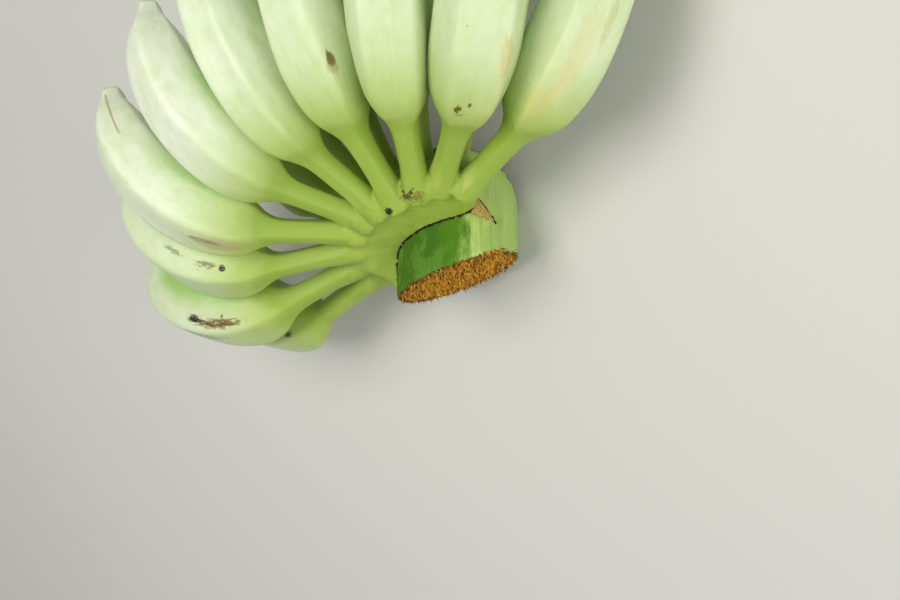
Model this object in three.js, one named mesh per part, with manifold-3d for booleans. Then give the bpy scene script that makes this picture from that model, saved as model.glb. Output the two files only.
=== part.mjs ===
// A hand of green plantains: two rows of curved fruit round one side of a short length of
// cut stalk, each held by its own pedicel on a cushion called the crown. Millimetres.
//
// The hand is worked out round the stalk: GROW is the stalk's axis and points to the fruit
// tips, and a bearing is measured round that axis from the AWAY side, toward the left side.
// The finished hand is then turned onto the floor, where it rests like a claw.

import * as THREE from 'three';
import { mergeVertices } from 'three/addons/utils/BufferGeometryUtils.js';
import Module from 'manifold-3d';

const wasm = await Module();
wasm.setup();

// Driving dimensions
const STALK_RADIUS = 33;
const LOWER_CUT = { at: -7, acrossSlope: 0.39, awaySlope: -0.21 };
const UPPER_CUT = { at: 43, acrossSlope: -0.15, awaySlope: 0.42 };
const CLEARANCE = 0.3;

const PEDICEL_RADIUS = 6.5;
const FRUIT_RADIUS = 20.2;
const STRAIGHT_SHARE = 0.75; // of the pedicel, before the fruit begins to bend
const RIDGES = 5;
const RIDGE_DEPTH = 0.04; // of the radius

const OUTER_RING = 61; // where the pedicels leave the crown, from the stalk's axis
const INNER_RING = 57;
const INNER_RISE = 17; // how far the inner row sits above the outer one, along the stalk
const INNER_LIFT = 42;

const CROWN = { ring: 46, halfWidth: 17, halfHeight: 13.5, rise: 5, from: 4, to: 120 };
const STUB = { length: 24, radius: 11 };

// Turn of the grown hand onto the floor, in degrees
const PITCH = -35.6;
const ROLL = 45;

// The outer row, from the fruit nearest the stalk's bare side round to the far end of the
// crown. root: bearing of the pedicel's foot; height: of that foot along the stalk; toward:
// bearing that the pedicel points in; start, end: lift toward GROW at the two ends; length
// and girth: of the fruit past its pedicel, girth as a share of FRUIT_RADIUS.
const OUTER_ROW = [
  { root: -6, height: 18, toward: -32, start: 11, end: 82, length: 138, girth: 1 },
  { root: 8, height: 20, toward: -11.5, start: 8, end: 84, length: 140, girth: 1.02 },
  { root: 21, height: 19, toward: 8, start: 16, end: 86, length: 140, girth: 1 },
  { root: 35, height: 17, toward: 27, start: 22, end: 86, length: 140, girth: 1 },
  { root: 48, height: 16, toward: 46.5, start: 18, end: 85, length: 140, girth: 0.96 },
  { root: 61, height: 15, toward: 64.5, start: 9, end: 83, length: 130, girth: 0.98 },
  { root: 75, height: 13, toward: 83, start: -3, end: 80, length: 134, girth: 1 },
  { root: 90, height: 10, toward: 101, start: -8, end: 77, length: 121, girth: 0.98 },
  { root: 106, height: 8, toward: 119, start: -15, end: 64, length: 130, girth: 1.05 },
  { root: 122, height: 7, toward: 139, start: -9, end: 74, length: 118, girth: 0.95 },
];
const OUTER_PEDICEL = 42;

// The inner row, packed in the hollow behind the outer one.
const INNER_ROW = [
  { root: 2, toward: -20 },
  { root: 21, toward: 5 },
  { root: 41, toward: 30 },
  { root: 61, toward: 55 },
  { root: 82, toward: 80 },
  { root: 104, toward: 106 },
];
const INNER = { pedicel: 34, length: 122, end: 92, girth: 0.88 };

const GROW = new THREE.Vector3(0, 1, 0);
const SIDES = 15;

const radians = THREE.MathUtils.degToRad;
const outward = (bearing) => new THREE.Vector3(
  -Math.sin(radians(bearing)), 0, Math.cos(radians(bearing)));
const crownHeight = (bearing) => 20.5 - 0.115 * bearing;

function material(colour, roughness) {
  return new THREE.MeshStandardMaterial({ color: colour, roughness, metalness: 0 });
}

const peel = material('#c3d48c', 0.5);
const crownSkin = material('#8faa3c', 0.55);
const stalkSkin = material('#6f9438', 0.6);

// A closed geometry with its vertices shared, for joining and for bending.
function welded(geometry) {
  geometry.deleteAttribute('normal');
  geometry.deleteAttribute('uv');
  return mergeVertices(geometry, 1e-4);
}

function move(geometry, place) {
  const position = geometry.attributes.position;
  const point = new THREE.Vector3();
  for (let i = 0; i < position.count; i += 1) {
    point.fromBufferAttribute(position, i);
    const moved = place(point);
    position.setXYZ(i, moved.x, moved.y, moved.z);
  }
  return geometry;
}

function solid(geometry) {
  const mesh = new wasm.Mesh({
    numProp: 3,
    vertProperties: new Float32Array(geometry.attributes.position.array),
    triVerts: new Uint32Array(geometry.index.array),
  });
  return new wasm.Manifold(mesh);
}

function geometryOf(manifold) {
  const mesh = manifold.getMesh();
  const geometry = new THREE.BufferGeometry();
  geometry.setAttribute('position', new THREE.BufferAttribute(mesh.vertProperties, 3));
  geometry.setIndex(new THREE.BufferAttribute(mesh.triVerts, 1));
  return geometry;
}

// The fruit's middle line: straight along the pedicel, then one even bend up to the tip.
// Gives the point at a distance along it, with the direction that the fruit's back faces.
function spineAt(fruit, distance) {
  const out = outward(fruit.toward);
  const straight = STRAIGHT_SHARE * fruit.pedicel;
  const bend = fruit.pedicel + fruit.length - straight;
  const start = radians(fruit.start);
  const end = radians(fruit.end);
  const bendRadius = bend / (end - start);
  const turned = Math.max(0, distance - straight) / bendRadius;
  const lift = start + turned;
  const run = Math.min(distance, straight);
  const along = run * Math.cos(start) + bendRadius * (Math.sin(lift) - Math.sin(start));
  const up = run * Math.sin(start) - bendRadius * (Math.cos(lift) - Math.cos(start));
  const foot = outward(fruit.root).multiplyScalar(fruit.ring);
  foot.addScaledVector(GROW, fruit.height);
  return {
    point: foot.addScaledVector(out, along).addScaledVector(GROW, up),
    back: out.clone().multiplyScalar(Math.sin(lift)).addScaledVector(GROW, -Math.cos(lift)),
    side: new THREE.Vector3().crossVectors(GROW, out),
  };
}

// Radius against the share of the fruit's own length, from the neck to the blunt tip.
const OUTLINE = [
  [0.0, 0.33],
  [0.06, 0.58],
  [0.14, 0.86],
  [0.28, 0.99],
  [0.45, 1.0],
  [0.62, 0.97],
  [0.76, 0.84],
  [0.87, 0.6],
  [0.94, 0.36],
  [0.98, 0.3],
  [1.0, 0.18],
];

function fruitGeometry(fruit) {
  const girth = FRUIT_RADIUS * fruit.girth;
  const profile = [[0, 0], [PEDICEL_RADIUS, 0], [PEDICEL_RADIUS, fruit.pedicel * 0.55]];
  for (const [share, width] of OUTLINE) {
    profile.push([girth * width, fruit.pedicel + share * fruit.length]);
  }
  profile.push([0, fruit.pedicel + fruit.length]);
  const points = profile.map(([x, y]) => new THREE.Vector2(x, y));
  const straight = welded(new THREE.LatheGeometry(points, SIDES));
  return move(straight, (p) => {
    const spine = spineAt(fruit, p.y);
    const turn = Math.atan2(p.x, p.z);
    const grown = THREE.MathUtils.smoothstep(p.y, fruit.pedicel * 0.9, fruit.pedicel * 1.4);
    const swell = 1 + grown * RIDGE_DEPTH * Math.cos(RIDGES * turn);
    return spine.point
      .addScaledVector(spine.side, p.x * swell)
      .addScaledVector(spine.back, p.z * swell);
  });
}

const outerRow = OUTER_ROW.map((fruit) => ({
  ...fruit, ring: OUTER_RING, pedicel: OUTER_PEDICEL,
}));
const innerRow = INNER_ROW.map((fruit) => ({
  ...fruit,
  ring: INNER_RING,
  height: crownHeight(fruit.root) + INNER_RISE,
  start: INNER_LIFT,
  end: INNER.end,
  pedicel: INNER.pedicel,
  length: INNER.length,
  girth: INNER.girth,
}));

function stalkGeometry(radius) {
  const cylinder = welded(new THREE.CylinderGeometry(radius, radius, 2, 40, 1));
  return move(cylinder, (p) => {
    const cut = p.y > 0 ? UPPER_CUT : LOWER_CUT;
    return new THREE.Vector3(p.x, cut.at + cut.acrossSlope * p.x + cut.awaySlope * p.z, p.z);
  });
}

// The stub of crown that meets a pedicel: wide where it leaves the crown.
function stubGeometry(fruit) {
  const points = [
    new THREE.Vector2(0, -STUB.length),
    new THREE.Vector2(STUB.radius, -STUB.length),
    new THREE.Vector2(PEDICEL_RADIUS, -CLEARANCE),
    new THREE.Vector2(0, -CLEARANCE),
  ];
  return move(welded(new THREE.LatheGeometry(points, SIDES)), (p) => {
    const spine = spineAt(fruit, p.y);
    return spine.point.addScaledVector(spine.side, p.x).addScaledVector(spine.back, p.z);
  });
}

// The crown's cushion is a capsule bent round the stalk.
function cushionGeometry() {
  const middle = (CROWN.from + CROWN.to) / 2;
  const span = radians(CROWN.to - CROWN.from) * CROWN.ring;
  const capsule = new THREE.CapsuleGeometry(1, span / CROWN.halfWidth, 3, 12, 9);
  return move(welded(capsule), (p) => {
    const bearing = middle + THREE.MathUtils.radToDeg((p.y * CROWN.halfWidth) / CROWN.ring);
    const height = crownHeight(bearing) + CROWN.rise + p.x * CROWN.halfHeight;
    return outward(bearing)
      .multiplyScalar(CROWN.ring + p.z * CROWN.halfWidth)
      .addScaledVector(GROW, height);
  });
}

function crownGeometry() {
  let crown = solid(cushionGeometry());
  for (const fruit of [...outerRow, ...innerRow]) {
    crown = crown.add(solid(stubGeometry(fruit)));
  }
  for (const fruit of [...outerRow, ...innerRow]) {
    crown = crown.subtract(solid(fruitGeometry(fruit)));
  }
  const core = new THREE.CylinderGeometry(
    STALK_RADIUS + CLEARANCE, STALK_RADIUS + CLEARANCE, 200, 40, 1);
  return geometryOf(crown.subtract(solid(welded(core))));
}

const hand = new THREE.Group();

function add(name, geometry, skin) {
  const mesh = new THREE.Mesh(geometry, skin.clone());
  mesh.name = name;
  hand.add(mesh);
}

add('stalk', stalkGeometry(STALK_RADIUS), stalkSkin);
add('crown', crownGeometry(), crownSkin);
outerRow.forEach((fruit, i) => add(`outer_fruit_${i + 1}`, fruitGeometry(fruit), peel));
innerRow.forEach((fruit, i) => add(`inner_fruit_${i + 1}`, fruitGeometry(fruit), peel));

hand.rotation.set(radians(PITCH), radians(ROLL), 0);

// The origin is on the floor, under the middle of the hand.
const extent = new THREE.Box3().setFromObject(hand, true);
const middle = extent.getCenter(new THREE.Vector3());
hand.position.set(-middle.x, -middle.y, -extent.min.z);

const group = new THREE.Group();
group.add(hand);

export default group;
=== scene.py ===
"""A hand of green plantains on its cut stalk: fine fruit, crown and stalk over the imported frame."""

import math
import random

import bpy
import bmesh
from mathutils import Matrix, Vector, noise


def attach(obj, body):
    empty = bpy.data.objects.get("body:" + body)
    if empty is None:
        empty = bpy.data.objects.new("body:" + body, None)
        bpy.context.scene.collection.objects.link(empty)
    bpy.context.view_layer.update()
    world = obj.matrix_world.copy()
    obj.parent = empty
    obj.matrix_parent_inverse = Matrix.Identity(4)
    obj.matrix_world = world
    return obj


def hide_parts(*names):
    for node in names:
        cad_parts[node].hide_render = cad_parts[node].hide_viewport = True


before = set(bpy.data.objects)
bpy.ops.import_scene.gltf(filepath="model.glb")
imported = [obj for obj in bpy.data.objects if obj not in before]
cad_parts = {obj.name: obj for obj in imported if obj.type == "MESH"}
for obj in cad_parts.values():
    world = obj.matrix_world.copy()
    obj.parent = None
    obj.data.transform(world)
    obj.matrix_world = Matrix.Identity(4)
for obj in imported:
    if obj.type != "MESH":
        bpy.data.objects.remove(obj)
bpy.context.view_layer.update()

MM = 0.001

# The hand is worked out round its stalk, in millimetres, and then laid on the floor as the
# frame has it. GROW is the stalk's axis and points to the fruit tips; bearings turn round it.
GROW = Vector((0, 1, 0))
PITCH = math.radians(-35.6)
ROLL = math.radians(45)

STALK_RADIUS = 33
LOWER_CUT = {"at": -7, "across": 0.39, "away": -0.21}
UPPER_CUT = {"at": 43, "across": -0.15, "away": 0.42}

PEDICEL_RADIUS = 6.9
PEDICEL_FOOT = {"length": 16, "swell": 0.16}  # where the pedicel widens toward the crown
FRUIT_RADIUS = 21.8
STRAIGHT_SHARE = 0.75  # of the pedicel, before the fruit begins to bend
HIDDEN_FOOT = 4  # how far a fruit's own mesh runs back into the crown's skin
RIDGES = 5
RIDGE_CORNER = 0.965  # reach of a ridge on the rounded section
SECTION_MEAN = 0.93  # mean reach of that section, so that the girth stays true

# The crown winds a little down the stalk: its height at bearing 0, and the fall for each
# degree. ring: distance of its middle from the stalk's axis; from, to: bearings.
CROWN_TOP = 20.5
CROWN_FALL = 0.115
CROWN = {"ring": 46, "half_width": 17, "half_height": 11, "rise": 6, "from": 4, "to": 120}
STUB = {"from": -9, "to": 8, "proud": 0.7}  # the crown's skin along a pedicel

# What the fruits of a row share. ring: distance of the pedicel's foot from the stalk's axis.
OUTER = dict(ring=61, pedicel=42)
INNER = dict(ring=57, pedicel=34, length=122, start=42, end=92, girth=0.9)
INNER_RISE = 17  # above the outer row, along the stalk

# root, toward: bearings of the pedicel's foot and of the way it points; height: of the foot
# along the stalk; start, end: lift toward GROW at the two ends.
OUTER_ROW = (
    dict(root=-6, height=18, toward=-32, start=11, end=82, length=138, girth=1),
    dict(root=8, height=20, toward=-11.5, start=8, end=84, length=140, girth=1.02),
    dict(root=21, height=19, toward=8, start=16, end=86, length=140, girth=1),
    dict(root=35, height=17, toward=27, start=22, end=86, length=140, girth=1),
    dict(root=48, height=16, toward=46.5, start=18, end=85, length=140, girth=0.96),
    dict(root=61, height=15, toward=64.5, start=9, end=83, length=130, girth=0.98),
    dict(root=75, height=13, toward=83, start=-3, end=80, length=134, girth=1),
    dict(root=90, height=10, toward=101, start=-8, end=77, length=121, girth=0.98),
    dict(root=106, height=8, toward=119, start=-15, end=64, length=130, girth=1.05),
    dict(root=122, height=7, toward=139, start=-9, end=74, length=118, girth=0.95),
)
INNER_ROW = (
    dict(root=2, toward=-20),
    dict(root=21, toward=5),
    dict(root=41, toward=30),
    dict(root=61, toward=55),
    dict(root=82, toward=80),
    dict(root=104, toward=106),
)

# Radius against the share of the fruit's own length, from the neck to the blunt tip.
OUTLINE = (
    (-0.1, 0.33),
    (-0.04, 0.345),
    (0.0, 0.39),
    (0.04, 0.51),
    (0.08, 0.68),
    (0.145, 0.86),
    (0.27, 0.98),
    (0.44, 1.0),
    (0.6, 0.965),
    (0.75, 0.83),
    (0.86, 0.63),
    (0.915, 0.44),
    (0.95, 0.34),
    (0.975, 0.305),
    (0.99, 0.26),
    (1.0, 0.15),
)


def crown_height(bearing):
    return CROWN_TOP - CROWN_FALL * bearing


def outward(bearing):
    turn = math.radians(bearing)
    return Vector((-math.sin(turn), 0, math.cos(turn)))


def smooth(x, low, high):
    t = min(1, max(0, (x - low) / (high - low)))
    return t * t * (3 - 2 * t)


def linear(code):
    """sRGB hex to the linear colour that a shader takes."""
    channels = [int(code[i : i + 2], 16) / 255 for i in (1, 3, 5)]
    return tuple(c / 12.92 if c <= 0.04045 else ((c + 0.055) / 1.055) ** 2.4 for c in channels) + (1,)


def frame_from_hand():
    """Hand millimetres to the frame's metres. The stalk's rims are centred on its axis, so the middle
    of its corners is a known point of the hand."""
    turn = Matrix.Rotation(PITCH, 4, "X") @ Matrix.Rotation(ROLL, 4, "Y")
    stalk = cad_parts["stalk"]
    corners = {tuple(round(c, 7) for c in stalk.matrix_world @ v.co) for v in stalk.data.vertices}
    middle = sum((Vector(c) for c in corners), Vector()) / len(corners)
    known = GROW * (LOWER_CUT["at"] + UPPER_CUT["at"]) / 2 * MM
    return Matrix.Translation(middle - turn @ known) @ turn @ Matrix.Scale(MM, 4)


HAND = frame_from_hand()


# ---------------------------------------------------------------- shapes


def finish_piece(name, mesh, material, slot, *nodes):
    """Makes a mesh a piece of the hand, in place of the frame's nodes that it covers."""
    piece = bpy.data.objects.new(name, mesh)
    bpy.context.scene.collection.objects.link(piece)
    mesh.materials.append(material)
    for polygon in mesh.polygons:
        polygon.use_smooth = True
    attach(piece, "root")
    if nodes:
        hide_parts(*nodes)


def mesh_from(name, grown, faces, places=None):
    """A mesh from hand points. It keeps where each point lies on its own piece, in
    millimetres, for the materials: by default the hand point itself."""
    mesh = bpy.data.meshes.new(name)
    mesh.from_pydata([HAND @ p for p in grown], [], faces)
    place = mesh.attributes.new("place", "FLOAT_VECTOR", "POINT")
    for item, value in zip(place.data, places or grown):
        item.vector = value
    return mesh


def ring_faces(rings, around):
    """Faces between rings of points, each ring closed on itself."""
    return [
        (i * around + j, i * around + (j + 1) % around,
         (i + 1) * around + (j + 1) % around, (i + 1) * around + j)
        for i in range(rings - 1)
        for j in range(around)
    ]


def tube_faces(rings, around):
    """The faces between the rings, and one across each end."""
    last = (rings - 1) * around
    ends = [tuple(reversed(range(around))), tuple(range(last, last + around))]
    return ring_faces(rings, around) + ends


def eased(knots, x):
    """A smooth line through the knots, with the slopes of its neighbours."""
    if x <= knots[0][0]:
        return knots[0][1]
    if x >= knots[-1][0]:
        return knots[-1][1]
    i = next(k for k in range(len(knots) - 1) if x < knots[k + 1][0])

    def slope(k):
        a, b = knots[max(0, k - 1)], knots[min(len(knots) - 1, k + 1)]
        return (b[1] - a[1]) / (b[0] - a[0])

    (x0, y0), (x1, y1) = knots[i], knots[i + 1]
    w = x1 - x0
    t = (x - x0) / w
    return (
        y0 * (1 + 2 * t) * (1 - t) ** 2
        + slope(i) * w * t * (1 - t) ** 2
        + y1 * t * t * (3 - 2 * t)
        - slope(i + 1) * w * t * t * (1 - t)
    )


def spine(fruit, distance):
    """Point, side and back of the fruit's middle line: straight, then one even bend."""
    out = outward(fruit["toward"])
    straight = STRAIGHT_SHARE * fruit["pedicel"]
    start, end = math.radians(fruit["start"]), math.radians(fruit["end"])
    bend_radius = (fruit["pedicel"] + fruit["length"] - straight) / (end - start)
    lift = start + max(0, distance - straight) / bend_radius
    run = min(distance, straight)
    along = run * math.cos(start) + bend_radius * (math.sin(lift) - math.sin(start))
    up = run * math.sin(start) - bend_radius * (math.cos(lift) - math.cos(start))
    foot = outward(fruit["root"]) * fruit["ring"] + GROW * fruit["height"]
    point = foot + out * along + GROW * up
    back = out * math.sin(lift) - GROW * math.cos(lift)
    return point, GROW.cross(out), back


def angular(turn, sides, corner):
    """Radius of a rounded polygon with its corners at 1 before rounding. A flat faces turn 0."""
    wedge = math.tau / sides
    off = (turn + wedge / 2) % wedge - wedge / 2
    flat = math.cos(wedge / 2) / math.cos(off)
    return (flat**-20 + corner**-20) ** (-1 / 20)


def pedicel_radius(distance):
    """The pedicel widens a little toward its foot."""
    foot = 1 - smooth(distance, 0, PEDICEL_FOOT["length"])
    return PEDICEL_RADIUS * (1 + PEDICEL_FOOT["swell"] * foot)


def fruit_mesh(name, fruit, seed, rings=150, around=80):
    """A fruit and its pedicel in one skin: five blunt ridges, each fruit a little skewed,
    twisted, dented and lumpy in its own way."""
    rng = random.Random(seed)
    girth = FRUIT_RADIUS * fruit["girth"]
    total = fruit["pedicel"] + fruit["length"]
    skew = [(rng.uniform(0.02, 0.09), rng.uniform(0, math.tau)) for _ in range(3)]
    twist = rng.uniform(-0.25, 0.25)
    grown, places = [], []
    for i in range(rings + 1):
        share = i / rings
        # The rings stand closer together along the middle.
        spread = share + 0.035 * math.sin(math.tau * share)
        distance = -HIDDEN_FOOT + (total + HIDDEN_FOOT) * spread
        point, side, back = spine(fruit, distance)
        own = (distance - fruit["pedicel"]) / fruit["length"]
        body = smooth(own, -0.05, 0.16) * (1 - 0.55 * smooth(own, 0.86, 0.96))
        neck = smooth(own, -0.14, 0.01)
        radius = pedicel_radius(distance) * (1 - neck) + girth * eased(OUTLINE, own) * neck
        for j in range(around):
            turn = math.tau * j / around
            warped = turn + twist * own + sum(
                a * math.sin((k + 1) * turn + p) for k, (a, p) in enumerate(skew)
            )
            ridged = angular(warped, RIDGES, RIDGE_CORNER) / SECTION_MEAN - 1
            section = (1 - 0.35 * (1 - body)) * ridged + 1
            circle = Vector((math.cos(turn), math.sin(turn), 0))
            dent = noise.noise(circle + Vector((seed, 0, distance / 34)))
            lump = noise.noise(2.2 * circle + Vector((0, 0, distance / 9 + seed)))
            reach = radius * section * (1 + 0.028 * dent * body + 0.006 * lump)
            local = Vector((reach * math.sin(turn), reach * math.cos(turn), distance))
            grown.append(point + side * local.x + back * local.y)
            places.append(local)
    faces = ring_faces(rings + 1, around)
    # Both ends close on a middle point. The tip's is a little sunken.
    for ring, end in ((0, -HIDDEN_FOOT), (rings, total - 1.2)):
        first = ring * around
        point, _, _ = spine(fruit, end)
        inner = len(grown)
        for j in range(around):
            grown.append(grown[first + j].lerp(point, 0.45))
            places.append(places[first + j].lerp(Vector((0, 0, places[first + j].z)), 0.45))
        centre = len(grown)
        grown.append(point)
        places.append(Vector((0, 0, places[first].z)))
        for j in range(around):
            k = (j + 1) % around
            rim, fan = (first + j, first + k, inner + k, inner + j), (inner + j, inner + k, centre)
            faces.append(rim if ring else rim[::-1])
            faces.append(fan if ring else fan[::-1])
    return mesh_from(name, grown, faces, places)


def face_out(mesh):
    """Turns every face outward."""
    work = bmesh.new()
    work.from_mesh(mesh)
    bmesh.ops.recalc_face_normals(work, faces=work.faces)
    work.to_mesh(mesh)
    work.free()


# ---------------------------------------------------------------- materials
# Sizes are in millimetres, and a pattern's scale is 1 over the size of its grain.

SOFT = {"interpolation_type": "SMOOTHSTEP"}
COLOUR = {"data_type": "RGBA"}
TIMES = {"operation": "MULTIPLY"}


def add(tree, kind, *inputs, stops=(), out=None, **settings):
    """Adds a node with its settings and links, and gives its first output or the one named.
    Inputs go to its sockets in order: an output to link, a number or a hex colour. A setting
    with a capital is a socket by its name, and stops are a ramp's places and colours."""
    made = tree.nodes.new("ShaderNode" + kind)
    for key, value in settings.items():
        if key.islower():
            setattr(made, key, value)
    if stops:
        made.color_ramp.interpolation = "EASE"
        steps = made.color_ramp.elements
        while len(steps) < len(stops):
            steps.new(0.5)
        for step, (position, colour) in zip(steps, stops):
            step.position = position
            step.color = linear(colour)
    filled = list(zip([socket for socket in made.inputs if socket.enabled], inputs))
    filled += [(made.inputs[key], value) for key, value in settings.items() if not key.islower()]
    for socket, value in filled:
        if isinstance(value, bpy.types.NodeSocket):
            tree.links.new(value, socket)
        elif value is not None:
            socket.default_value = linear(value) if isinstance(value, str) else value
    return made.outputs[out] if out else next(socket for socket in made.outputs if socket.enabled)


def blank(name):
    made = bpy.data.materials.new(name)
    made.use_nodes = True
    tree = made.node_tree
    return made, tree, tree.nodes["Principled BSDF"]


def place_on(tree):
    """Where a point lies on its own piece."""
    return add(tree, "Attribute", attribute_name="place", out="Vector")


def scar(tree, place, fray, spot, size, torn, edge, strength=1):
    """A mark with a torn edge. size is its half length along each of the piece's own axes, torn
    is how deep the fraying bites, and edge is where on the worn slope it begins and is full."""
    away = add(tree, "VectorMath", place, spot, operation="SUBTRACT")
    away = add(tree, "VectorMath", away, size, operation="DIVIDE")
    away = add(tree, "VectorMath", away, operation="LENGTH")
    patch = add(tree, "MapRange", away, 0.44, 1, 1, 0)
    bites = add(tree, "MapRange", fray, 0, 1, -0.52 * torn, 0.48 * torn)
    worn = add(tree, "Math", patch, bites)
    mask = add(tree, "MapRange", worn, *edge, 0, strength, **SOFT)
    return add(tree, "Math", mask, patch, **TIMES)


def finish_look(tree, shader, colour, roughness, reliefs=(), **sockets):
    """Links a look to its shader. reliefs are (height, millimetres) pairs, and the sockets that
    are the same all over are set on the shader itself."""
    tree.links.new(colour, shader.inputs["Base Color"])
    tree.links.new(roughness, shader.inputs["Roughness"])
    for key, value in sockets.items():
        shader.inputs[key.replace("_", " ")].default_value = value
    normal = None
    for height, depth in reliefs:
        normal = add(tree, "Bump", Height=height, Distance=depth * MM, Strength=1, Normal=normal)
    if normal:
        tree.links.new(normal, shader.inputs["Normal"])


# Plant wax bends light by 1.45. Light passes a little way into the young flesh, and green
# light goes furthest.
FLESH = {"IOR": 1.45, "Subsurface_Radius": (0.5, 1, 0.2), "Subsurface_Scale": 2.5 * MM}


# Painted shade: between these distances from a fruit's middle line, its flank under the next fruit is
# painted darker and greener.
SHADED_FLANK = (16.6, 22.2)


def plantain_peel(name, seed, ripeness, wax, pedicel, length, marks=()):
    """Unripe plantain peel, as it grew: tough skin under its own film of wax. The eye gets a
    matt, whitish bloom over light green, yellower toward the pedicel, with dark flecks, rubbed
    brown scars, and a dry brown end where the flower was. The flank tucked under the next fruit
    is painted greener, with less bloom, as painted shade."""
    made, tree, shader = blank(name)
    place = place_on(tree)
    along = add(tree, "SeparateXYZ", place, out="Z")
    aside = add(tree, "SeparateXYZ", place, out="X")
    share = add(tree, "MapRange", along, pedicel, pedicel + length, 0, 1, clamp=False)

    # The skin's patterns are drawn out along the fruit: 0.06 makes a grain 17 times as long.
    shift = (seed * 37, seed * 17, seed * 91)
    drawn = {
        stretch: add(tree, "Mapping", place, Location=shift, Scale=(1, 1, stretch))
        for stretch in (1, 0.7, 0.6, 0.5, 0.3, 0.06)
    }
    broad = add(tree, "TexNoise", drawn[0.5], Scale=1 / 28.6, Detail=3, Roughness=0.55)
    streaks = add(tree, "TexNoise", drawn[0.06], Scale=1 / 2.4, Detail=5, Roughness=0.6)
    mottle = add(tree, "TexNoise", drawn[0.6], Scale=1 / 6.25, Detail=6, Roughness=0.6, Distortion=0.4)

    # Green under the wax: the young green pulls to yellow-green where the fruit joins its pedicel.
    sway = add(tree, "MapRange", broad, 0, 1, -0.25, 0.25)
    greens = (0, "#91aa3d"), (0.1, "#a2b753"), (0.32, "#a9c167"), (0.95, "#a9c574")
    base = add(tree, "ValToRGB", add(tree, "Math", share, sway), stops=greens)
    turned = add(tree, "MapRange", broad, 0.45, 0.75, 0, ripeness, **SOFT)
    base = add(tree, "Mix", turned, base, "#cdc877", **COLOUR)
    lines = add(tree, "MapRange", streaks, 0.35, 0.62, 0.22, 0, **SOFT)
    base = add(tree, "Mix", lines, base, "#8ba84c", **COLOUR)

    # The flank tucked under the next fruit is painted greener with less bloom: painted shade and
    # painted green bounce light. It begins 17 mm to the side of the fruit's middle line, give or take
    # 3 mm.
    tucked = add(tree, "Math", aside, add(tree, "MapRange", broad, 0, 1, -3.3, 3.3))
    flank_shade = add(tree, "MapRange", tucked, *SHADED_FLANK, 0, 0.85, **SOFT)
    base = add(tree, "Mix", flank_shade, base, "#86b53c", **COLOUR)

    # The bloom: thicker on the middle and outer half, rubbed off in patches.
    thick = 0.74 * wax
    # The bloom thins over that same flank, as part of its painted shade.
    film = add(tree, "MapRange", tucked, *SHADED_FLANK, thick, thick - 0.55, **SOFT)
    film = add(tree, "Math", film, add(tree, "MapRange", share, 0.02, 0.45, 0, 1, **SOFT), **TIMES)
    film = add(tree, "Math", film, add(tree, "MapRange", mottle, 0.3, 0.62, 0.72, 1, **SOFT), **TIMES)
    colour = add(tree, "Mix", film, base, "#dfe4d0", **COLOUR)

    # Dark flecks half a millimetre across, in loose groups.
    fleck = add(tree, "TexVoronoi", drawn[0.7], Scale=1 / 6.25)
    group = add(tree, "TexNoise", drawn[1], Scale=1 / 20, Detail=2, Roughness=0.55)
    group = add(tree, "MapRange", group, 0.52, 0.62, 0, 0.75, **SOFT)
    fleck = add(tree, "Math", add(tree, "MapRange", fleck, 0.035, 0.06, 1, 0, **SOFT), group, **TIMES)
    colour = add(tree, "Mix", fleck, colour, "#54501f", **COLOUR)

    fray = add(tree, "TexNoise", drawn[0.3], Scale=1 / 1.25, Detail=6, Roughness=0.7)
    wound = 0
    for spot, size, tint, strength, fraying in marks:
        mark = scar(tree, place, fray, spot, size, fraying * 5, (0.35, 0.75), strength)
        colour = add(tree, "Mix", mark, colour, tint, **COLOUR)
        wound = add(tree, "Math", wound, mark, operation="MAXIMUM")

    # The dry brown end.
    ragged = add(tree, "Math", share, add(tree, "MapRange", mottle, 0, 1, -0.025, 0.025))
    drying = add(tree, "MapRange", ragged, 0.975, 1, 0, 0.6, **SOFT)
    colour = add(tree, "Mix", drying, colour, "#a8926a", **COLOUR)
    dry = add(tree, "MapRange", ragged, 0.99, 1, 0, 1, **SOFT)
    colour = add(tree, "Mix", dry, colour, "#3d2a17", **COLOUR)

    rough = add(tree, "MapRange", mottle, 0, 1, 0.36, 0.62)
    rough = add(tree, "Math", dry, 0.3, rough, operation="MULTIPLY_ADD", use_clamp=True)
    # Real pores are about 0.05 mm across: they are drawn at 0.42 mm, as fine as can show.
    fibre = add(tree, "TexNoise", drawn[0.06], Scale=1 / 0.7, Detail=4, Roughness=0.6)
    pores = add(tree, "TexNoise", drawn[1], Scale=1 / 0.42, Detail=3, Roughness=0.5)
    reliefs = [(fibre, 0.12), (pores, 0.05), (dry, 0.5)]
    if marks:
        reliefs.append((add(tree, "Math", wound, fray, **TIMES), 0.35))
    finish_look(
        tree, shader, colour, rough, reliefs, Specular_IOR_Level=0.45, Subsurface_Weight=0.12, **FLESH
    )
    return made


# ---------------------------------------------------------------- crown and stalk

# Where the crown's skin ends on the stalk: (bearing, height), ragged where the bract tore off.
SEAM = (
    (-16, 18.5), (-6, 14.5), (6, 12), (25, 9.6), (45, 7.8),
    (64, 6), (82, 3.6), (94, -2), (102, -8), (112, -16),
)


# The tan scar at the seam's bare end: three corners as (bearing, height).
TAN_SCAR = ((-11, 15), (-37, 12), (-15, 27))


def on_stalk(bearing, height, proud=0.0):
    return outward(bearing) * (STALK_RADIUS + proud) + GROW * height


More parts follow.
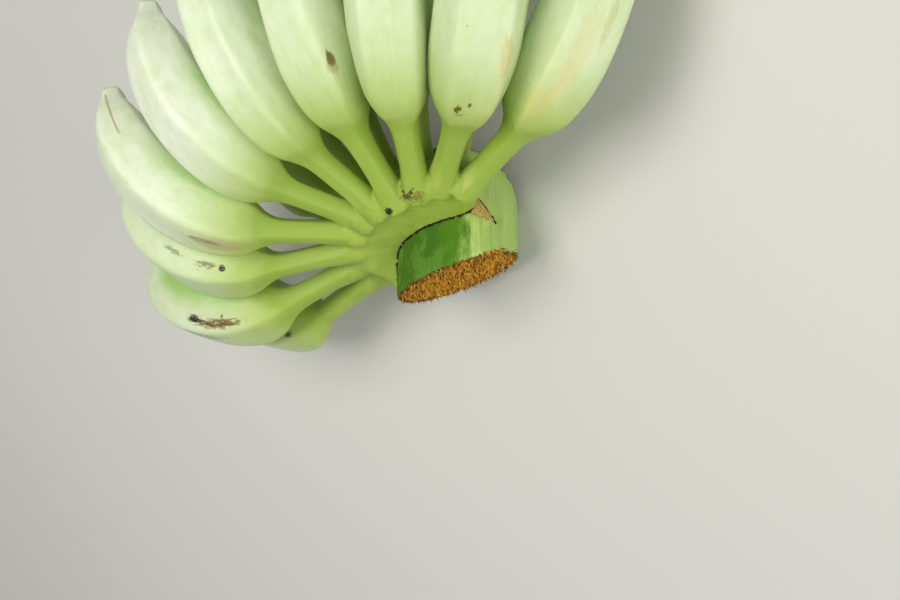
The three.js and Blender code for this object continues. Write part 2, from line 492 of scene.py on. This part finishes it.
def cushion(steps=64, around=28):
    """The crown's body: a rounded bar bent round the stalk, past the first and last roots, with
    closed round ends."""
    past, rounding = 20, 22  # degrees of bearing
    grown = []
    low, high = CROWN["from"] - past, CROWN["to"] + past
    for i in range(steps + 1):
        share = i / steps
        bearing = low + (high - low) * share
        end = min(share, 1 - share) * (high - low) / rounding
        size = max(0.02, math.sqrt(1 - (1 - min(1, end)) ** 2))
        centre = outward(bearing) * CROWN["ring"] + GROW * (crown_height(bearing) + CROWN["rise"])
        for j in range(around):
            turn = math.tau * j / around
            wide = CROWN["half_width"] * size * math.cos(turn)
            tall = CROWN["half_height"] * size * math.sin(turn)
            grown.append(centre + outward(bearing) * wide + GROW * tall)
    return grown, tube_faces(steps + 1, around)


def stub(fruit, steps=14, around=24):
    """The crown's skin running out along a pedicel: broad at the root, thin at its end."""
    grown = []
    for i in range(steps + 1):
        distance = STUB["from"] + (STUB["to"] - STUB["from"]) * i / steps
        point, side, back = spine(fruit, distance)
        # It starts outside the pedicel's skin and ends as far inside it.
        thinned = smooth(distance, STUB["from"] + 2, STUB["to"])
        radius = pedicel_radius(distance) + STUB["proud"] * (1 - 2 * thinned)
        for j in range(around):
            turn = math.tau * j / around
            grown.append(point + side * radius * math.sin(turn) + back * radius * math.cos(turn))
    return grown, tube_faces(steps + 1, around)


def sleeve(steps=90, rise=22, depth=7.5):
    """The crown's flat underside, from the seam on the stalk out to the pedicels' roots. depth
    is how far it lies under the line of the roots."""
    grown = []
    low, high = SEAM[0][0], SEAM[-1][0]
    for i in range(steps + 1):
        bearing = low + (high - low) * i / steps
        height = eased(SEAM, bearing)
        gap = max(0, crown_height(bearing) - depth - height)
        reach = smooth(bearing, low - 4, low + 16) * (1 - smooth(bearing, high - 14, high + 4))
        profile = (
            (0, -6), (0, 0.3), (0.5 + 0.3 * gap, 6 * reach), (1 + 0.6 * gap, 14 * reach),
            (1.5 + gap, 26 * reach), (7 + gap, 29 * reach), (rise, 24 * reach), (rise, -6),
        )
        for up, proud in profile:
            grown.append(on_stalk(bearing, height + up, proud))
    return grown, tube_faces(steps + 1, len(profile))


def crown_mesh(fruits):
    """One skin over the cushion, the sleeve and the stubs."""
    work = bmesh.new()
    for grown, faces in [cushion(), sleeve()] + [stub(f) for f in fruits]:
        corners = [work.verts.new(p) for p in grown]
        made = [work.faces.new([corners[k] for k in face]) for face in faces]
        bmesh.ops.recalc_face_normals(work, faces=made)
    raw = bpy.data.meshes.new("crown_raw")
    work.to_mesh(raw)
    work.free()
    rough_crown = bpy.data.objects.new("crown_raw", raw)
    bpy.context.scene.collection.objects.link(rough_crown)
    skin = rough_crown.modifiers.new("one_skin", "REMESH")
    skin.mode = "VOXEL"
    skin.voxel_size = 1.0
    even = rough_crown.modifiers.new("even", "SMOOTH")
    even.factor = 0.5
    even.iterations = 14
    graph = bpy.context.evaluated_depsgraph_get()
    joined = rough_crown.evaluated_get(graph).to_mesh()
    grown = []
    for v in joined.vertices:
        # Soft lumps, 9 mm and 2.5 mm across.
        swell = 0.35 * noise.noise(v.co / 9) + 0.12 * noise.noise(v.co / 2.5)
        grown.append(v.co + v.normal * swell)
    faces = [tuple(f.vertices) for f in joined.polygons]
    mesh = mesh_from("crown", grown, faces)
    rough_crown.evaluated_get(graph).to_mesh_clear()
    bpy.data.objects.remove(rough_crown)
    bpy.data.meshes.remove(raw)
    return mesh


def cut_height(cut, x, z):
    """Height of a cut's plane along the stalk, over a place on its cross section."""
    return cut["at"] + cut["across"] * x + cut["away"] * z


def rib(bearing):
    """How far the fine lengthwise ribs stand out of the rind."""
    turn = math.radians(bearing)
    circle = Vector((math.cos(turn), math.sin(turn), 0))
    return 0.42 * noise.noise(circle * 9) + 0.16 * noise.noise(circle * 34 + Vector((5, 0, 0)))


def stalk_mesh(rows=60, columns=420):
    """The rind between its two cuts: ribbed, a little uneven, torn and worn at the edges."""
    grown = []
    for i in range(rows + 1):
        share = i / rows
        for j in range(columns):
            bearing = 360 * j / columns
            way = outward(bearing)
            edge = min(share, 1 - share)
            reach = STALK_RADIUS + rib(bearing) - 0.9 * (1 - smooth(edge, 0, 0.03))
            reach += 0.5 * noise.noise(way * 1.6 + Vector((0, share * 2, 0)))
            x, z = way.x * reach, way.z * reach
            low, high = cut_height(LOWER_CUT, x, z), cut_height(UPPER_CUT, x, z)
            torn = 0.9 * noise.noise(way * 24) * (1 - smooth(edge, 0, 0.05))
            grown.append(Vector((x, low + (high - low) * share + torn, z)))
    return mesh_from("stalk", grown, ring_faces(rows + 1, columns))


RIND = 0.5  # from the rind's face in to the fibre of the cut


def cut_mesh(name, cut, outward_sign, rings=70, columns=300):
    """The cut end: a shallow dish of fibre ends inside the rind's edge."""
    grown = []
    for i in range(rings + 1):
        share = i / rings
        for j in range(columns):
            bearing = 360 * j / columns
            way = outward(bearing)
            reach = max(0.02, share) * (STALK_RADIUS - RIND)
            p = way * reach
            dish = -1.6 * (1 - smooth(share, 0.75, 1.0)) - 0.4
            tuft = 1.5 * noise.noise(p / 1.3) + 1.2 * noise.noise(p / 3.1 + Vector((9, 0, 0)))
            up = outward_sign * (dish + tuft * (1 - 0.6 * smooth(share, 0.93, 1.0)))
            grown.append(p + GROW * (cut_height(cut, p.x, p.z) + up))
    return mesh_from(name, grown, ring_faces(rings + 1, columns))


BRISTLE = {"lean": 0.38, "length": (1.8, 4.6), "radius": (0.25, 0.55), "sunk": 2}


def bristle_mesh(name, cut, outward_sign, count, seed, inside=0.0, bearings=(0, 360), flare=0.0):
    """Loose fibre ends standing on the cut, each a thin three-sided spike. inside keeps them
    to the ring beyond that share of the radius, and flare leans them off the axis. Their place
    runs from 0 at the foot to 1 at the tip."""
    rng = random.Random(seed)
    slope = Vector((-cut["across"], 1, -cut["away"])).normalized() * outward_sign
    grown, faces, places = [], [], []
    for _ in range(count):
        reach = (STALK_RADIUS - 0.9) * math.sqrt(rng.uniform(inside**2, 1))  # even over the area
        side = outward(rng.uniform(*bearings))
        p = side * reach
        foot = p + GROW * (cut_height(cut, p.x, p.z) - outward_sign * BRISTLE["sunk"])
        lean = Vector([rng.gauss(0, BRISTLE["lean"]) for _ in range(3)])
        way = (slope + side * flare + lean).normalized()
        length = rng.uniform(*BRISTLE["length"]) * (1.1 + 0.5 * flare if inside else 1)
        across = way.orthogonal().normalized()
        over = way.cross(across)
        radius = rng.uniform(*BRISTLE["radius"])
        first = len(grown)
        shade = Vector((rng.random() * 50, rng.random() * 50, 0))
        for k in range(3):
            turn = math.tau * k / 3
            grown.append(foot + (across * math.cos(turn) + over * math.sin(turn)) * radius)
            places.append(shade)
        grown.append(foot + way * length)
        places.append(shade + Vector((0, 0, 1)))
        for k in range(3):
            faces.append((first + k, first + (k + 1) % 3, first + 3))
        faces.append((first + 2, first + 1, first))
    return mesh_from(name, grown, faces, places)


def lip_mesh(name, path, steps, wide=0.32):
    """A torn edge's thin dry lip along a path of (bearing, height): ragged in width and height."""
    grown = []
    for i in range(steps + 1):
        bearing, height = path(i / steps)
        wobble = 1.1 * noise.noise(Vector((bearing / 4, 0, 0)))
        wobble += 0.5 * noise.noise(Vector((bearing, 3, 0)))
        thick = noise.noise(Vector((bearing / 3.2, 7, 0)))
        half = wide + 0.75 * max(0, thick) + 0.35 * abs(noise.noise(Vector((bearing * 1.3, 1, 0))))
        proud = 0.9 + 0.6 * noise.noise(Vector((bearing / 1.7, 5, 0)))
        section = (
            (-half, 0.1), (-0.6 * half, proud), (0.5 * half, 1.1 * proud), (half, 0.5), (0, -0.8),
        )
        for up, rise in section:
            grown.append(on_stalk(bearing, height + wobble + up, rise))
    return mesh_from(name, grown, tube_faces(steps + 1, len(section)))


def along_seam(share):
    """The seam, from just inside one end to short of the other."""
    bearing = -14 + 120 * share
    return bearing, eased(SEAM, bearing)


def along_scar(share):
    """The scar's outer side."""
    (low, foot), (high, head) = TAN_SCAR[1], TAN_SCAR[2]
    return low + (high - low) * share, foot + (head - foot) * share


def tan_scar_mesh(steps=26):
    """A thin dry sheet over the scar, raised a millimetre and frayed at its edge."""
    grown, rows, faces = [], [], []
    a, b, c = (Vector((*corner, 0)) for corner in TAN_SCAR)
    apart = Vector((0, 0, 8))
    for i in range(steps + 1):
        rows.append(len(grown))
        for j in range(steps + 1 - i):
            u, v = i / steps, j / steps
            flat = a + (c - a) * u + (b - a) * v
            edge = min(u, v, 1 - u - v) * 3
            fray = 2.24 * (1 - smooth(edge, 0, 0.35))
            flat += fray * Vector((noise.noise(flat * 0.9), noise.noise(flat * 0.9 + apart), 0))
            proud = 0.2 + 1.1 * smooth(edge, 0, 0.25) + 0.5 * noise.noise(flat * 0.5)
            grown.append(on_stalk(flat.x, flat.y, proud))
    for i in range(steps):
        for j in range(steps - i):
            p, q = rows[i] + j, rows[i + 1] + j
            faces.append((p, p + 1, q))
            if j < steps - i - 1:
                faces.append((p + 1, q + 1, q))
    return mesh_from("bract_scar", grown, faces)


# Scabs on the crown: where, half size in millimetres, colour, fraying.
CROWN_MARKS = (
    ((-26, 13, 58), (6.5, 7, 9), "#5e4716", 7),
    ((-20, 9, 60), (7, 5, 8), "#8a7a2c", 6),
    ((-36.5, 7.5, 48), (4.6, 2.2, 5), "#1a1404", 3),
    ((-6, 17, 60), (2.6, 2.6, 3), "#5a4a1c", 4),
    ((-11, 18, 60), (2.2, 2.6, 3), "#5a4a1c", 4),
    ((-60, 8, 0), (4, 6, 5), "#a08a50", 6),
)


def crown_skin(name):
    """Young crown skin, as it grew: taut and nearly without wax. The eye gets a smooth, slightly
    shiny yellow-green, with faint paler marks and brown specks and scars at the roots."""
    made, tree, shader = blank(name)
    place = place_on(tree)
    broad = add(tree, "TexNoise", place, Scale=1 / 20, Detail=3, Roughness=0.55)
    fine = add(tree, "TexNoise", place, Scale=1 / 2, Detail=5, Roughness=0.6)
    greens = (0.3, "#86a234"), (0.5, "#91aa3d"), (0.7, "#a0b345")
    colour = add(tree, "ValToRGB", broad, stops=greens)
    pale = add(tree, "MapRange", fine, 0.5, 0.75, 0, 0.4, **SOFT)
    colour = add(tree, "Mix", pale, colour, "#b3bf66", **COLOUR)
    apart = add(tree, "Mapping", place, Location=(11, 3, 5))
    speck = add(tree, "TexNoise", apart, Scale=1 / 2.94, Detail=6, Roughness=0.75)
    speck = add(tree, "MapRange", speck, 0.69, 0.73, 0, 0.8, **SOFT)
    colour = add(tree, "Mix", speck, colour, "#5c431a", **COLOUR)
    crumbs = add(tree, "TexNoise", place, Scale=1 / 1.33, Detail=6, Roughness=0.75)
    for spot, size, tint, fraying in CROWN_MARKS:
        scab = scar(tree, place, crumbs, spot, size, fraying, (0.5, 0.8))
        colour = add(tree, "Mix", scab, colour, tint, **COLOUR)
        speck = add(tree, "Math", speck, scab, operation="MAXIMUM")
    rough = add(tree, "MapRange", fine, 0, 1, 0.4, 0.65)
    reliefs = (fine, 0.2), (speck, 0.3)
    finish_look(tree, shader, colour, rough, reliefs, Subsurface_Weight=0.1, **FLESH)
    return made


def stalk_rind(name):
    """Rind of the bunch's stalk, as it grew: ribbed and matt. The eye gets dark green toward the
    thick side of the crown and pale waxy green on the bare side, in lines along the stalk."""
    made, tree, shader = blank(name)
    place = place_on(tree)
    across = add(tree, "SeparateXYZ", place, out="X")
    drawn = {
        stretch: add(tree, "Mapping", place, Scale=(1, stretch, 1)) for stretch in (0.5, 0.35, 0.03)
    }
    lines = add(tree, "TexNoise", drawn[0.03], Scale=1 / 1.1, Detail=5, Roughness=0.65)
    blots = add(tree, "TexNoise", drawn[0.35], Scale=1 / 7.1, Detail=5, Roughness=0.6)
    share = add(tree, "MapRange", across, -STALK_RADIUS, STALK_RADIUS, 0, 1, clamp=False)
    share = add(tree, "Math", share, add(tree, "MapRange", blots, 0, 1, -0.175, 0.175))
    greens = (0.3, "#3d670b"), (0.5, "#4b790e"), (0.6, "#b0c56e"), (0.85, "#a3bd68")
    colour = add(tree, "ValToRGB", share, stops=greens)
    patches = add(tree, "TexNoise", drawn[0.5], Scale=1 / 11, Detail=4, Roughness=0.6)
    patches = add(tree, "MapRange", patches, 0.48, 0.62, 0, 0.32, **SOFT)
    colour = add(tree, "Mix", patches, colour, "#79a440", **COLOUR)
    furrows = add(tree, "MapRange", lines, 0.4, 0.6, 0.18, 0, **SOFT)
    colour = add(tree, "Mix", furrows, colour, "#4b741f", **COLOUR)
    crests = add(tree, "MapRange", lines, 0.58, 0.75, 0, 0.22, **SOFT)
    colour = add(tree, "Mix", crests, colour, "#b2c878", **COLOUR)
    rough = add(tree, "MapRange", lines, 0, 1, 0.55, 0.85)
    finish_look(tree, shader, colour, rough, ((lines, 0.12), (blots, 0.3)), Specular_IOR_Level=0.25)
    return made


def loose_fibre(name, dark, mid, pale):
    """Dry stalk fibre, torn loose by the blade: each strand is dark where it leaves the cut and
    golden or pale at its tip, and no two are quite the same."""
    made, tree, shader = blank(name)
    place = place_on(tree)
    across = add(tree, "SeparateXYZ", place, out="X")
    along = add(tree, "SeparateXYZ", place, out="Z")
    own = add(tree, "Math", across, 7.31, **TIMES)  # any number that scatters the strands
    own = add(tree, "Math", own, operation="FRACT")
    shade = add(tree, "Math", own, 0.8, **TIMES)
    shade = add(tree, "Math", along, 0.42, shade, operation="MULTIPLY_ADD")
    colour = add(tree, "ValToRGB", shade, stops=((0.1, dark), (0.55, mid), (0.95, pale)))
    rough = add(tree, "MapRange", own, 0, 1, 0.45, 0.75)
    finish_look(tree, shader, colour, rough, Specular_IOR_Level=0.2)
    return made


def cut_fibre(name, dark, mid, pale):
    """Dried stalk fibre, sawn across: matt golden strand ends, painted near black in the hollows
    between them as painted shade and paler on the raised ends as painted highlight.
    """
    made, tree, shader = blank(name)
    place = place_on(tree)
    fine = add(tree, "TexNoise", place, Scale=1 / 0.9, Detail=5, Roughness=0.7)
    apart = add(tree, "Mapping", place, Location=(4, 4, 4))
    broad = add(tree, "TexNoise", apart, Scale=1 / 9, Detail=3, Roughness=0.55)
    both = add(tree, "Mix", 0.25, fine, broad)
    # The ramp follows the relief's grain: its dark end is painted shade in the hollows, and its pale
    # end is a painted highlight on the raised ends.
    colour = add(tree, "ValToRGB", both, stops=((0.38, dark), (0.52, mid), (0.66, pale)))
    rough = add(tree, "MapRange", fine, 0, 1, 0.6, 0.9)
    finish_look(tree, shader, colour, rough, ((fine, 0.5),), Specular_IOR_Level=0.25)
    return made


# ---------------------------------------------------------------- the hand

outer = [dict(f, **OUTER) for f in OUTER_ROW]
inner = [dict(f, **INNER, height=crown_height(f["root"]) + INNER_RISE) for f in INNER_ROW]

# How far a fruit's peel has turned from green to yellow, where it isn't the usual share.
USUAL_RIPENESS = 0.2
RIPENESS = {"outer_fruit_1": 0.75, "outer_fruit_2": 0.45, "outer_fruit_9": 0.4}

# How thick the bloom is, where it isn't 1.
WAX = {
    "outer_fruit_1": 0.75, "outer_fruit_2": 0.78, "outer_fruit_3": 0.78, "outer_fruit_4": 0.85,
    "outer_fruit_6": 1.25, "outer_fruit_7": 1.1, "outer_fruit_8": 0.85, "outer_fruit_9": 0.85,
}

BROWN, DARK_BROWN, ROSY, OCHRE = "#66480f", "#33210a", "#b59b76", "#cdb86c"
# The crease green is painted shade: a darker green band along the edge where a fruit runs under its
# neighbour.
DEEP_GREEN, CREASE_SHADE_GREEN = "#6f9d55", "#76a81e"

SCRATCH = ("#b58a72", 0.5, 0.2)


def streak(start, end, size, *look, steps=9):
    """A thin line of marks that run into one another."""
    ends = Vector(start), Vector(end)
    return [(tuple(ends[0].lerp(ends[1], i / (steps - 1))), size, *look) for i in range(steps)]


# Marks by fruit: where on the fruit (side, back, along its length), half size, colour,
# strength and how far the edge frays.
MARKS = {
    "outer_fruit_1": (
        ((-4, 18, 92), (8, 7, 34), OCHRE, 0.3, 0.5),
        ((-8, 16, 66), (10, 9, 16), OCHRE, 0.3, 0.4),
        ((4, 19, 108), (3, 4, 16), "#bfa25a", 0.35, 1.0),
    ),
    "outer_fruit_2": (
        ((-6, 17, 62), (2.6, 4, 3.2), BROWN, 1.0, 1.0),
        ((-1, 17, 65), (1.6, 3, 1.8), BROWN, 0.9, 0.8),
        ((-4, 17, 59), (5, 4, 1.6), "#8f8a45", 0.6, 0.8),
        ((11, 18, 88), (4, 5, 15), OCHRE, 0.55, 0.8),
    ),
    "outer_fruit_4": (
        ((13, 16, 82), (2.8, 4, 5.5), DARK_BROWN, 1.0, 0.7),
        ((13, 16, 80), (4.4, 5, 8.5), "#9c8a4c", 0.5, 0.8),
    ),
    # Painted shade in the crease under the next fruit.
    "outer_fruit_6": (((24, -3, 100), (6, 13, 80), CREASE_SHADE_GREEN, 0.55, 0.1),),
    "outer_fruit_7": (
        ((3, 18, 64), (10, 8, 22), ROSY, 0.5, 0.5),
        ((4, 17, 73), (3, 5, 15), BROWN, 0.6, 1.6),
        # Painted shade in the crease under the next fruit.
        ((24, -3, 95), (6, 13, 80), CREASE_SHADE_GREEN, 0.55, 0.1),
        *streak((6.5, 3.7, 168), (12.7, 3.6, 153.6), (2.5, 1.0, 3.5), *SCRATCH),
        *streak((12.7, 3.6, 153.6), (15.6, 4.4, 139), (2.5, 0.9, 3.5), *SCRATCH),
    ),
    "outer_fruit_8": (
        ((14.6, 9.8, 65), (2.2, 3, 2.8), DARK_BROWN, 1.0, 0.6),
        ((15.5, 10, 74), (2.0, 3, 9), BROWN, 0.7, 1.6),
        ((16.3, 9.2, 94), (1.2, 3, 9), "#5a5a28", 0.6, 1.5),
        # Painted shade in the crease under the next fruit.
        ((22, -1, 90), (5, 13, 70), CREASE_SHADE_GREEN, 0.55, 0.1),
    ),
    "outer_fruit_9": (
        ((14.5, 14, 82), (3.2, 5, 24), "#74500c", 1.0, 1.2),
        ((15, 13, 97), (3.4, 4, 9), DARK_BROWN, 1.0, 0.9),
        ((6, 18, 96), (7, 7, 26), DEEP_GREEN, 0.55, 0.6),
        ((17, 11, 78), (1, 2, 1.3), DARK_BROWN, 0.9, 0.3),
    ),
    "outer_fruit_10": (
        ((11, 12, 62), (2, 3, 6), DARK_BROWN, 0.9, 1.0),
    ),
    "inner_fruit_2": (((0, 16, 90), (3, 3, 7), BROWN, 0.8, 1.0),),
    "inner_fruit_5": (((5, 14, 70), (4, 4, 9), BROWN, 0.7, 1.2),),
}

SEED_FROM = {"outer": 0, "inner": 20}  # each fruit grows in its own way

for row, fruits in (("outer", outer), ("inner", inner)):
    for number, fruit in enumerate(fruits, 1):
        seed = number + SEED_FROM[row]
        node_name = f"{row}_fruit_{number}"
        marks = MARKS.get(node_name, ())
        ripeness = RIPENESS.get(node_name, USUAL_RIPENESS)
        wax = WAX.get(node_name, 1)
        size = fruit["pedicel"], fruit["length"]
        peel = plantain_peel(f"{node_name}_peel", seed, ripeness, wax, *size, marks)
        mesh = fruit_mesh(node_name, fruit, seed)
        face_out(mesh)
        finish_piece(f"plantain_{row}_{number}", mesh, peel, "peel", node_name)

crown = crown_mesh(outer + inner)
finish_piece("crown_skin", crown, crown_skin("crown_skin"), "crown_skin", "crown")

rind = stalk_mesh()
face_out(rind)
finish_piece("stalk_rind", rind, stalk_rind("stalk_rind"), "stalk_skin", "stalk")

pith = cut_fibre("cut_pith", "#2a1804", "#86540a", "#d69022")
golden = loose_fibre("golden_fibre", "#2e1903", "#b87a0a", "#ffc24a")
singed = loose_fibre("edge_fibre", "#160d03", "#3d2608", "#8a5c20")
for name, cut, sign, count in (("lower", LOWER_CUT, -1, 2600), ("upper", UPPER_CUT, 1, 1600)):
    finish_piece(f"stalk_{name}_cut", cut_mesh(f"{name}_cut", cut, sign), pith, "stalk_skin")
    middle = bristle_mesh(f"{name}_bristles", cut, sign, count, seed=3)
    finish_piece(f"stalk_{name}_bristles", middle, golden, "stalk_skin")
    edge = bristle_mesh(f"{name}_edge", cut, sign, count // 4, seed=8, inside=0.93)
    finish_piece(f"stalk_{name}_edge", edge, singed, "stalk_skin")
tuft = bristle_mesh(
    "rim_tuft", LOWER_CUT, -1, 44, seed=5, inside=0.97, bearings=(-46, -22), flare=1.3
)
finish_piece("stalk_rim_tuft", tuft, golden, "stalk_skin")

dry_bract = cut_fibre("dry_bract", "#120b04", "#241707", "#4a3014")
finish_piece("bract_lip", lip_mesh("bract_lip", along_seam, 260), dry_bract, "stalk_skin")
finish_piece("scar_lip", lip_mesh("scar_lip", along_scar, 60, 0.2), dry_bract, "stalk_skin")
tan = cut_fibre("tan_scar", "#7a5a22", "#b59a56", "#cdb478")
finish_piece("bract_scar", tan_scar_mesh(), tan, "stalk_skin")


# ---------------------------------------------------------------- camera, light and floor


def light(name, power, size, place, aim, colour):
    lamp = bpy.data.lights.new(name, "AREA")
    lamp.energy = power
    lamp.size = size
    lamp.color = colour
    made = bpy.data.objects.new(name, lamp)
    made.location = place
    made.rotation_euler = (aim - place).to_track_quat("-Z", "Y").to_euler()
    bpy.context.scene.collection.objects.link(made)


# The camera looks down past the cut end, with the stalk's axis upright in the picture.
LOOK_DOWN = math.radians(65)  # from the stalk's cut end toward its away side
CAMERA_REACH = 687
AIM_ACROSS, AIM_UP = -4.4, -18.7
LENS = 50

back = Vector((0, -math.cos(LOOK_DOWN), math.sin(LOOK_DOWN)))
upright = Vector((0, math.sin(LOOK_DOWN), math.cos(LOOK_DOWN)))
aim = AIM_ACROSS * Vector((1, 0, 0)) + AIM_UP * upright
turn = HAND.to_3x3().normalized()

camera_data = bpy.data.cameras.new("camera")
camera_data.lens = LENS
camera = bpy.data.objects.new("camera", camera_data)
axes = Matrix((turn @ Vector((1, 0, 0)), turn @ upright, turn @ back)).transposed()
camera.matrix_world = Matrix.Translation(HAND @ (aim + back * CAMERA_REACH)) @ axes.to_4x4()
bpy.context.scene.collection.objects.link(camera)
bpy.context.scene.camera = camera

# A soft lamp from the left, and a wider one low on the right. Each is so many metres across,
# up and toward the camera from the target.
target = HAND @ Vector((0, 30, 20))
for name, power, size, across, up, off, colour in (
    ("key", 7.4, 0.6, -0.66, 0.02, 0.8, (1.0, 0.985, 0.95)),
    ("fill", 8.4, 0.8, 0.75, -0.4, 0.9, (1.0, 1.0, 0.97)),
):
    place = target + turn @ (Vector((across, 0, 0)) + upright * up + back * off)
    light(name, power, size, place, target, colour)

world = bpy.data.worlds.new("daylight")
world.use_nodes = True
world.node_tree.nodes["Background"].inputs["Color"].default_value = linear("#eef2f4")
world.node_tree.nodes["Background"].inputs["Strength"].default_value = 0.48
bpy.context.scene.world = world

FLOOR_HALF = 4
corners = [(x * FLOOR_HALF, y * FLOOR_HALF, 0) for x, y in ((-1, -1), (1, -1), (1, 1), (-1, 1))]
floor_mesh = bpy.data.meshes.new("floor")
floor_mesh.from_pydata(corners, [], [(0, 1, 2, 3)])
floor = bpy.data.objects.new("floor", floor_mesh)
paint, paint_tree, paint_shader = blank("pale_floor")
paint_shader.inputs["Base Color"].default_value = linear("#cfcdc6")
paint_shader.inputs["Roughness"].default_value = 0.8
floor_mesh.materials.append(paint)
bpy.context.scene.collection.objects.link(floor)

bpy.context.scene.view_settings.view_transform = "Standard"
